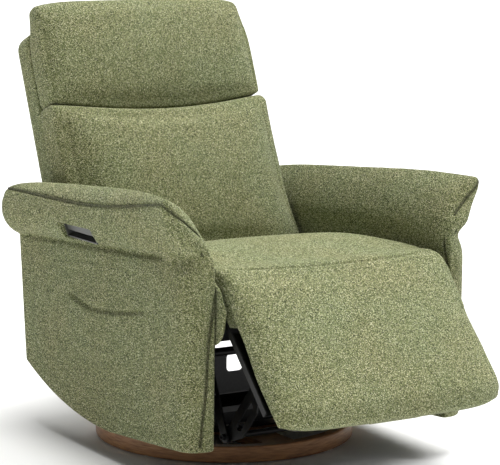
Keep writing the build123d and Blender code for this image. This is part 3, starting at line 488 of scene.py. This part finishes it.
def smooth_line(points, count):
    """Evenly spaced points on a smooth curve through a few given ones."""
    places = np.array([list(p) for p in points], float)
    knots = np.concatenate([[0], np.cumsum(np.linalg.norm(np.diff(places, axis=0), axis=1))])
    fine = np.linspace(0, knots[-1], count)
    slopes = np.gradient(places, knots, axis=0)
    index = np.clip(np.searchsorted(knots, fine, side="right") - 1, 0, len(knots) - 2)
    span = (knots[index + 1] - knots[index])[:, None]
    t = ((fine - knots[index])[:, None]) / span
    a, b = places[index], places[index + 1]
    ma, mb = slopes[index] * span, slopes[index + 1] * span
    start = (2 * t**3 - 3 * t**2 + 1) * a + (t**3 - 2 * t**2 + t) * ma
    return start + (3 * t**2 - 2 * t**3) * b + (t**3 - t**2) * mb


def onto(obj, line, lift):
    """A line laid on an object's surface, raised by lift."""
    tree = BVHTree.FromObject(obj, bpy.context.evaluated_depsgraph_get())
    laid = []
    for point in line:
        place, normal, _, _ = tree.find_nearest(Vector(point))
        laid.append(place + normal * lift)
    return np.array([list(p) for p in laid])


def relaxed(line, steps):
    """Line with its small kinks evened out, ends kept."""
    line = line.copy()
    for _ in range(steps):
        line[1:-1] = 0.5 * line[1:-1] + 0.25 * (line[:-2] + line[2:])
    return line


def crease(obj, line, width, depth, fade=0.0):
    """Presses a sewn line into a cover; fade eases it out over that share of its length at each end."""
    places = points_of(obj)
    normals = normals_of(obj)
    line = np.asarray(line)
    near = np.all((places > line.min(0) - 3 * width) & (places < line.max(0) + 3 * width), axis=1)
    chosen = np.flatnonzero(near)
    gaps = np.linalg.norm(places[chosen][:, None, :] - line[None, :, :], axis=2)
    closest = gaps.argmin(1)
    gap = gaps[np.arange(len(chosen)), closest]
    share = closest / (len(line) - 1)
    depths = np.broadcast_to(depth, len(line))[closest]
    if fade:
        depths = depths * ease(np.minimum(share, 1 - share) / fade)
    places[chosen] -= normals[chosen] * (depths * np.exp(-(gap / width) ** 2))[:, None]
    set_points(obj, places)


def piping(name, cover, line, body):
    """Round fabric piping sewn into a groove along a line on a cover, closed at both ends."""
    laid = relaxed(onto(cover, line, 0.0), 6)
    crease(cover, laid, 0.0050, 0.0050)
    laid = [Vector(p) for p in relaxed(onto(cover, laid, 0.6 * PIPING_RADIUS), 6)]
    rings = []
    across = (laid[1] - laid[0]).orthogonal().normalized()
    for index, point in enumerate(laid):
        ahead = (laid[min(index + 1, len(laid) - 1)] - laid[max(index - 1, 0)]).normalized()
        across = (across - ahead * across.dot(ahead)).normalized()
        up = ahead.cross(across)
        turns = [2 * math.pi * step / 8 for step in range(8)]
        rings.append([point + PIPING_RADIUS * (across * math.cos(t) + up * math.sin(t)) for t in turns])
    work = bmesh.new()
    skin_rings(work, rings)
    cord = new_object(name, new_mesh(name, work))
    cord.data.polygons.foreach_set("use_smooth", [True] * len(cord.data.polygons))
    # Darker cord fabric: painted shade of the seam's groove
    cord.data.materials.append(PIPING_PAINTED_SHADE_FABRIC)
    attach(cord, body)


# Covers
def notch_height(y):
    """Height of the crease under the arm's flare."""
    return NOTCH_MID - NOTCH_SLOPE * y


def arm_cover(side, word):
    """Arm cover: flared top, side, front and lining in one sewn skin, piped and creased under the flare."""
    replaced = [f"{word}_arm_pad", f"{word}_arm_panel", f"{word}_arm_lining"]
    if side < 0:
        replaced.append("side_pocket")
    name = f"{word}_arm_cover"
    work = copies_of(*replaced, f"{word}_arm_frame")
    solids = BVHTree.FromBMesh(work)
    cover = new_object(name, new_mesh(name, work))
    remesh(cover, COVER_VOXEL, SMOOTH_STEPS)
    refine(cover)
    places = points_of(cover)
    from_notch = places[:, 2] - notch_height(places[:, 1])
    soft_front = ease((-0.32 - places[:, 1]) / 0.08) * np.exp(-(from_notch / 0.045) ** 2)
    hug(cover, solids, 0.85 * (1 - soft_front))
    places = points_of(cover)
    facing = normals_of(cover)[:, 0] * side
    along = np.clip((places[:, 1] - ARM_FRONT) / (ARM_REAR - ARM_FRONT), 0, 1)
    low = notch_height(places[:, 1])
    height = np.clip((places[:, 2] - ARM_FOOT) / (low - ARM_FOOT), 0, 1)
    belly = np.sin(np.pi * along) * np.sin(np.pi * height) * (places[:, 2] < low) * np.clip(facing, 0, 1) ** 4
    cushion = np.sin(np.pi * along) * ease((places[:, 2] - low) / 0.05) * np.clip(-facing, 0, 1) ** 2
    places[:, 0] += side * (ARM_BELLY * belly - ARM_CUSHION * cushion)
    set_points(cover, places)
    ys = np.linspace(ARM_REAR - 0.01, NOTCH_END, 90)
    under = np.stack([np.full(90, side * ARM_OUTER), ys, notch_height(ys)], axis=1)
    crease(cover, onto(cover, under, 0.0), NOTCH_WIDTH, np.linspace(*NOTCH_DEPTHS, 90), fade=0.10)
    waist = smooth_line([(side * x, y, notch_height(y) + 0.003) for x, y in (
        (ARM_OUTER, -0.38), (ARM_OUTER, -0.41), (ARM_OUTER - 0.003, -0.44), (ARM_OUTER - 0.012, -0.466),
        (ARM_OUTER - 0.028, -0.480))], 40)
    crease(cover, onto(cover, waist, 0.0), WAIST_WIDTH, WAIST_DEPTH * ease(np.linspace(0, 2.5, 40)))
    pull_tip(cover, side)
    if side < 0:
        press_pocket(cover, side)
    edge = [(0.419, ARM_REAR - 0.006, 0.598), (0.423, 0.126, 0.604), (0.427, -0.103, 0.614),
            (0.431, -0.315, 0.640), (0.434, -0.400, 0.653), (0.439, -0.447, 0.660), (0.426, -0.450, 0.648),
            (0.405, -0.446, 0.628), (0.375, -0.448, 0.593), (0.346, -0.452, 0.543), (0.330, -0.462, 0.505),
            (0.325, -0.474, 0.470), (0.327, ARM_FRONT, 0.430), (0.337, ARM_FRONT, 0.355),
            (0.346, ARM_FRONT, 0.220), (0.353, ARM_FRONT, 0.164), (0.358, ARM_FRONT, 0.112)]
    line = smooth_line([(side * x, y, z) for x, y, z in edge], 260)
    piping(f"{word}_arm_piping", cover, line, "chassis")
    finish_cover(cover, replaced)
    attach(cover, "chassis")


def pull_tip(cover, side):
    """Draws the flare's front corner out to a point."""
    places = points_of(cover)
    mirror = np.array([side, 1, 1])
    near = np.exp(-(np.linalg.norm(places - mirror * TIP, axis=1) / TIP_REACH) ** 2)
    set_points(cover, places + near[:, None] * (mirror * TIP_PULL))


def press_pocket(cover, side):
    """Pocket on the arm's side: a curved mouth with a lip, and its seam running on to the front."""
    x = side * ARM_OUTER
    mouth = smooth_line([(x, 0.100, 0.378), (x, 0.059, 0.371), (x, 0.006, 0.361), (x, -0.051, 0.358),
                         (x, -0.118, 0.363), (x, -0.191, 0.373), (x, -0.303, 0.395)], 90)
    seam = smooth_line([(x, -0.303, 0.395), (x, -0.360, 0.407), (x, -0.425, 0.420)], 40)
    crease(cover, onto(cover, mouth, 0.0), 0.0050, 0.0065, fade=0.08)
    crease(cover, onto(cover, seam, 0.0), 0.0040, 0.0022)
    places = points_of(cover)
    facing = np.clip(normals_of(cover)[:, 0] * side, 0, 1) ** 6
    drop = np.interp(places[:, 1], mouth[::-1, 1], mouth[::-1, 2]) - places[:, 2]
    lip = ease(drop / 0.008) * np.exp(-np.clip(drop, 0, 1) / 0.06)
    inside = ease((places[:, 1] + 0.300) / 0.08) * ease((0.100 - places[:, 1]) / 0.05)
    places[:, 0] += side * POCKET_LIP * lip * inside * facing
    set_points(cover, places)


def about_hinge(places):
    """Distance from the footrest's hinge line, and the angle from straight up towards the front."""
    ahead = HINGE.y - places[:, 1]
    above = places[:, 2] - HINGE.z
    return np.hypot(ahead, above), np.arctan2(ahead, above)


def move_from_hinge(places, distance):
    """Moves points to the given distance from the hinge line."""
    _, angle = about_hinge(places)
    places[:, 1] = HINGE.y - distance * np.sin(angle)
    places[:, 2] = HINGE.z + distance * np.cos(angle)


def seat_cover():
    """Seat cushion cover, crowned, with its front corners drawn in."""
    cover = new_object("seat_cover", new_mesh("seat_cover", copies_of("seat_cushion")))
    remesh(cover, COVER_VOXEL, SMOOTH_STEPS)
    places = points_of(cover)
    distance, _ = about_hinge(places)
    front = ease((HINGE.y + 0.05 - places[:, 1]) / 0.08)
    move_from_hinge(places, distance - SEAT_CORNER_DRAW * front * (np.abs(places[:, 0]) / SEAT_HALF) ** 8)
    set_points(cover, places)
    stuff(cover, lambda p: (p[:, 2] < 0.42) | (p[:, 1] > 0.085) | (p[:, 1] < HINGE.y + 0.07), 0.012)
    refine(cover)
    finish_cover(cover, ["seat_cushion"])
    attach(cover, "seat")


def seat_borders():
    """Fabric borders down the seat's sides."""
    for word in ("left", "right"):
        name = f"{word}_border_cover"
        cover = new_object(name, new_mesh(name, copies_of(f"{word}_seat_border")))
        remesh(cover, 0.0025, 3)
        places = points_of(cover)
        distance, angle = about_hinge(places)
        upper = ease((HINGE.y + 0.05 - places[:, 1]) / 0.08) * ease((1.9 - angle) / 0.6)
        move_from_hinge(places, distance - BORDER_DRAW * upper * ease((distance - 0.02) / 0.03))
        set_points(cover, places)
        finish_cover(cover, [f"{word}_seat_border"])
        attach(cover, "seat")


def edge_draw(across, radius):
    """How far the rounding of a side edge draws a section in, at a distance across from the middle."""
    into = min(max(abs(across) - (PAD_HALF - radius), 0), radius)
    return radius - math.sqrt(radius**2 - into**2)


def pad_place(out, along):
    """Row place of a point given out from the footrest's hinge, square to the pad, and down along the pad."""
    ahead = out * math.sin(FOOTREST_DROP) + along * math.cos(FOOTREST_DROP)
    above = out * math.cos(FOOTREST_DROP) - along * math.sin(FOOTREST_DROP)
    return HINGE.y - ahead, HINGE.z + above


def knee_ring(across):
    """Section of the footrest cover's lap over the seat's front roll and on down to the pad."""
    draw = edge_draw(across, KNEE_EDGE)
    reach = PAD_FACE_RADIUS - draw
    top = []
    for behind in np.linspace(KNEE_LAP, 0.008, 8):
        seat_top = HINGE.z + ROLL_RADIUS + 0.006 * (1 - (1 - behind / 0.279) ** 2)
        lift = SEAT_GAP + (PAD_FACE_RADIUS - ROLL_RADIUS - SEAT_GAP) * float(ease(1 - behind / 0.062))
        top.append((HINGE.y + behind, seat_top + lift - draw))
    for angle in np.linspace(0, FOOTREST_DROP, 11):
        top.append((HINGE.y - reach * math.sin(angle), HINGE.z + reach * math.cos(angle)))
    below = [(y + 0.20 * (HINGE.y - y), z + 0.20 * (HINGE.z - z)) for y, z in top]
    for along in np.linspace(0.015, KNEE_LENGTH, 8):
        share = along / KNEE_LENGTH
        draw = edge_draw(across, KNEE_EDGE + (PAD_EDGE - KNEE_EDGE) * share)
        top.append(pad_place(PAD_FACE_RADIUS - draw - KNEE_SINK * share**2, along))
        below.append(pad_place(KNEE_UNDERSIDE, along))
    return [(across, y, z) for y, z in top + below[::-1]]


def footrest_cover():
    """Footrest cover: a boxed, tightly filled pad whose top laps over the seat's front to a cross seam."""
    work = copies_of("footrest_pad")
    turns = np.linspace(-math.pi / 2, math.pi / 2, 61)
    skin_rings(work, [knee_ring(PAD_HALF * math.sin(turn)) for turn in turns])
    cover = new_object("footrest_cover", new_mesh("footrest_cover", work))
    remesh(cover, COVER_VOXEL, 3)
    out = np.array([0, -math.sin(FOOTREST_DROP), math.cos(FOOTREST_DROP)])
    down = np.array([0, -math.cos(FOOTREST_DROP), -math.sin(FOOTREST_DROP)])
    base = np.array(HINGE)
    stuff(cover, lambda p: ((p - base) @ out < 0.0) | (about_hinge(p)[1] < FOOTREST_DROP), 0.010)
    places = points_of(cover)
    distance, angle = about_hinge(places)
    draw = SEAT_CORNER_DRAW * (np.abs(places[:, 0]) / SEAT_HALF) ** 8
    clear = (ROLL_RADIUS + 0.0012) / np.maximum(np.cos(np.minimum(angle, 0)), 0.5) - draw
    move_from_hinge(places, np.where(angle < FOOTREST_DROP + 0.9, np.maximum(distance, clear), distance))
    depth = (places - base) @ out
    along = (places - base) @ down
    trim = ease((np.abs(places[:, 0]) - PAD_TRIM_FROM) / 0.014) * ease((0.24 - along) / 0.12) * (along > 0)
    places += (0.8 * trim * np.clip(PAD_TRIM_TO - depth, 0, 0.03))[:, None] * out
    corner = ease((np.abs(places[:, 0]) - PAD_CORNER_FROM) / 0.06) * ease((along - along.max() + 0.07) / 0.07)
    corner *= ease((depth - 0.010) / 0.03)
    places[:, 0] -= np.sign(places[:, 0]) * PAD_CORNER_ACROSS * corner
    places -= (PAD_CORNER_UP * corner)[:, None] * down
    set_points(cover, places)
    refine(cover)
    seam = []
    for share in np.linspace(-0.97, 0.97, 110):
        angle = math.radians(3 + 20 * (1 - abs(share) ** 2.2))
        reach = PAD_FACE_RADIUS - edge_draw(share * PAD_HALF, KNEE_EDGE)
        seam.append((share * PAD_HALF, HINGE.y - reach * math.sin(angle), HINGE.z + reach * math.cos(angle)))
    crease(cover, onto(cover, seam, 0.0), 0.0034, 0.0065)
    finish_cover(cover, ["footrest_pad"])
    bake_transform(cover)


def back_point(x, s, h):
    """Row place of a point given across, rearward and up the leaning back."""
    y = PIVOT.y + s * math.cos(BACK_LEAN) + h * math.sin(BACK_LEAN)
    z = PIVOT.z - s * math.sin(BACK_LEAN) + h * math.cos(BACK_LEAN)
    return (x, y, z)


def back_depth(p):
    """Depth behind the back's pivot of an array of points."""
    return (p[:, 1] - PIVOT.y) * math.cos(BACK_LEAN) - (p[:, 2] - PIVOT.z) * math.sin(BACK_LEAN)


def back_height(p):
    """Height up the leaning back of an array of points."""
    return (p[:, 1] - PIVOT.y) * math.sin(BACK_LEAN) + (p[:, 2] - PIVOT.z) * math.cos(BACK_LEAN)


def back_cushion(name, node, seam_heights, seam_depth, cap, side_bulge):
    """One of the back's cushions, with a sewn seam where its front panel meets each side."""
    cover = new_object(name, new_mesh(name, copies_of(node)))
    remesh(cover, COVER_VOXEL, SMOOTH_STEPS)
    places = points_of(cover)
    sideways = np.abs(places[:, 0]) / np.abs(places[:, 0]).max()
    height = back_height(places)
    places[:, 0] += np.sign(places[:, 0]) * sideways**4 * side_bulge(height)
    rear = ease((back_depth(places) - 0.070) / 0.030) * ease((sideways - 0.85) / 0.1)
    places[:, 0] -= np.sign(places[:, 0]) * BACK_REAR_DRAW * rear
    sag = (JOIN_RISE * sideways**2 - JOIN_SAG) * np.exp(-((height - BACK_JOIN) / JOIN_REACH) ** 2)
    places[:, 1] += sag * math.sin(BACK_LEAN)
    places[:, 2] += sag * math.cos(BACK_LEAN)
    set_points(cover, places)
    stuff(cover, lambda p: back_depth(p) > 0.085, cap)
    refine(cover)
    for side in (-1, 1):
        heights = np.linspace(*seam_heights, 70)
        line = [back_point(side * BACK_SEAM, seam_depth(h), h) for h in heights]
        crease(cover, onto(cover, line, 0.0), 0.0045, 0.0045, fade=0.05)
    finish_cover(cover, [node])
    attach(cover, "back")


def back_covers():
    """Lumbar cushion, headrest and the shell behind them."""
    back_cushion("lumbar_cover", "lumbar_cushion", (-0.02, 0.37), lambda h: -0.02 + 0.03 * h, 0.010,
                 lambda h: (0.010 + 0.006 * ease((h - 0.10) / 0.12)) * ease((0.42 - h) / 0.06))
    back_cushion("headrest_cover", "headrest_cushion", (0.40, 0.63), lambda h: 0.030, 0.010,
                 lambda h: -0.014 * ease((h - 0.53) / 0.12))
    shell = new_object("back_shell_cover", new_mesh("back_shell_cover", copies_of(
        "back_shell", "back_side_rails", "back_cross_rails")))
    remesh(shell, COVER_VOXEL, SMOOTH_STEPS)
    refine(shell)
    finish_cover(shell, ["back_shell"])
    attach(shell, "back")


# Stage
def make_floor():
    """Plain pale studio floor."""
    mesh = bpy.data.meshes.new("floor")
    reach = 60.0
    corners = [(-reach, -reach, 0), (reach, -reach, 0), (reach, reach, 0), (-reach, reach, 0)]
    mesh.from_pydata(corners, [], [(0, 1, 2, 3)])
    floor = new_object("floor", mesh)
    material, _, shader = new_material("pale_floor")
    shader.inputs["Base Color"].default_value = linear("#f6f6f5")
    shader.inputs["Roughness"].default_value = 0.85
    shader.inputs["Specular IOR Level"].default_value = 0.1
    mesh.materials.append(material)


def soft_sun(name, direction, spread_degrees, strength):
    """Broad, even light from far away, shining along a direction."""
    data = bpy.data.lights.new(name, "SUN")
    data.angle = math.radians(spread_degrees)
    data.energy = strength
    lamp = new_object(name, data)
    lamp.rotation_mode = "QUATERNION"
    lamp.rotation_quaternion = Vector(direction).to_track_quat("-Z", "Y")


def make_light():
    """Bright white room, with broad soft lights from above and weak fills from the front and the side."""
    world = bpy.data.worlds.new("studio")
    bpy.context.scene.world = world
    world.use_nodes = True
    background = world.node_tree.nodes["Background"]
    background.inputs["Color"].default_value = (1, 1, 1, 1)
    background.inputs["Strength"].default_value = 0.13
    soft_sun("overhead", (0.0, 0.1, -1.0), 25, 2.1)
    soft_sun("overhead_rear", (0.0, -0.5, -1.0), 35, 0.9)
    soft_sun("over_left_shoulder", (-0.6, 0.0, -1.0), 35, 2.7)
    soft_sun("front_fill", (-1.0, 0.8, -0.9), 40, 0.35)
    soft_sun("side_fill", (1.0, 0.1, -0.5), 50, 0.12)
    bpy.context.scene.view_settings.view_transform = "Standard"


def make_camera():
    """Camera at the photograph's place."""
    data = bpy.data.cameras.new("photo_camera")
    data.sensor_width = SENSOR_WIDTH
    data.lens = CAMERA_FOCAL_PIXELS * SENSOR_WIDTH / PICTURE_WIDTH
    camera = new_object("photo_camera", data)
    place = Vector((-math.sin(CAMERA_AZIMUTH) * CAMERA_DISTANCE,
                    -math.cos(CAMERA_AZIMUTH) * CAMERA_DISTANCE, CAMERA_HEIGHT))
    heading = CAMERA_AZIMUTH + CAMERA_YAW
    look = Vector((math.sin(heading) * math.cos(CAMERA_PITCH), math.cos(heading) * math.cos(CAMERA_PITCH),
                   -math.sin(CAMERA_PITCH)))
    right = Vector((math.cos(heading), -math.sin(heading), 0))
    up = right.cross(look)
    rolled_right = right * math.cos(CAMERA_ROLL) + up * math.sin(CAMERA_ROLL)
    rolled_up = up * math.cos(CAMERA_ROLL) - right * math.sin(CAMERA_ROLL)
    turn = Matrix((rolled_right, rolled_up, -look)).transposed().to_4x4()
    camera.matrix_world = Matrix.Translation(place) @ turn
    bpy.context.scene.camera = camera


dress_cad_nodes()
for arm_side, arm_word in ((1, "left"), (-1, "right")):
    arm_cover(arm_side, arm_word)
seat_cover()
seat_borders()
footrest_cover()
back_covers()
make_floor()
make_light()
make_camera()
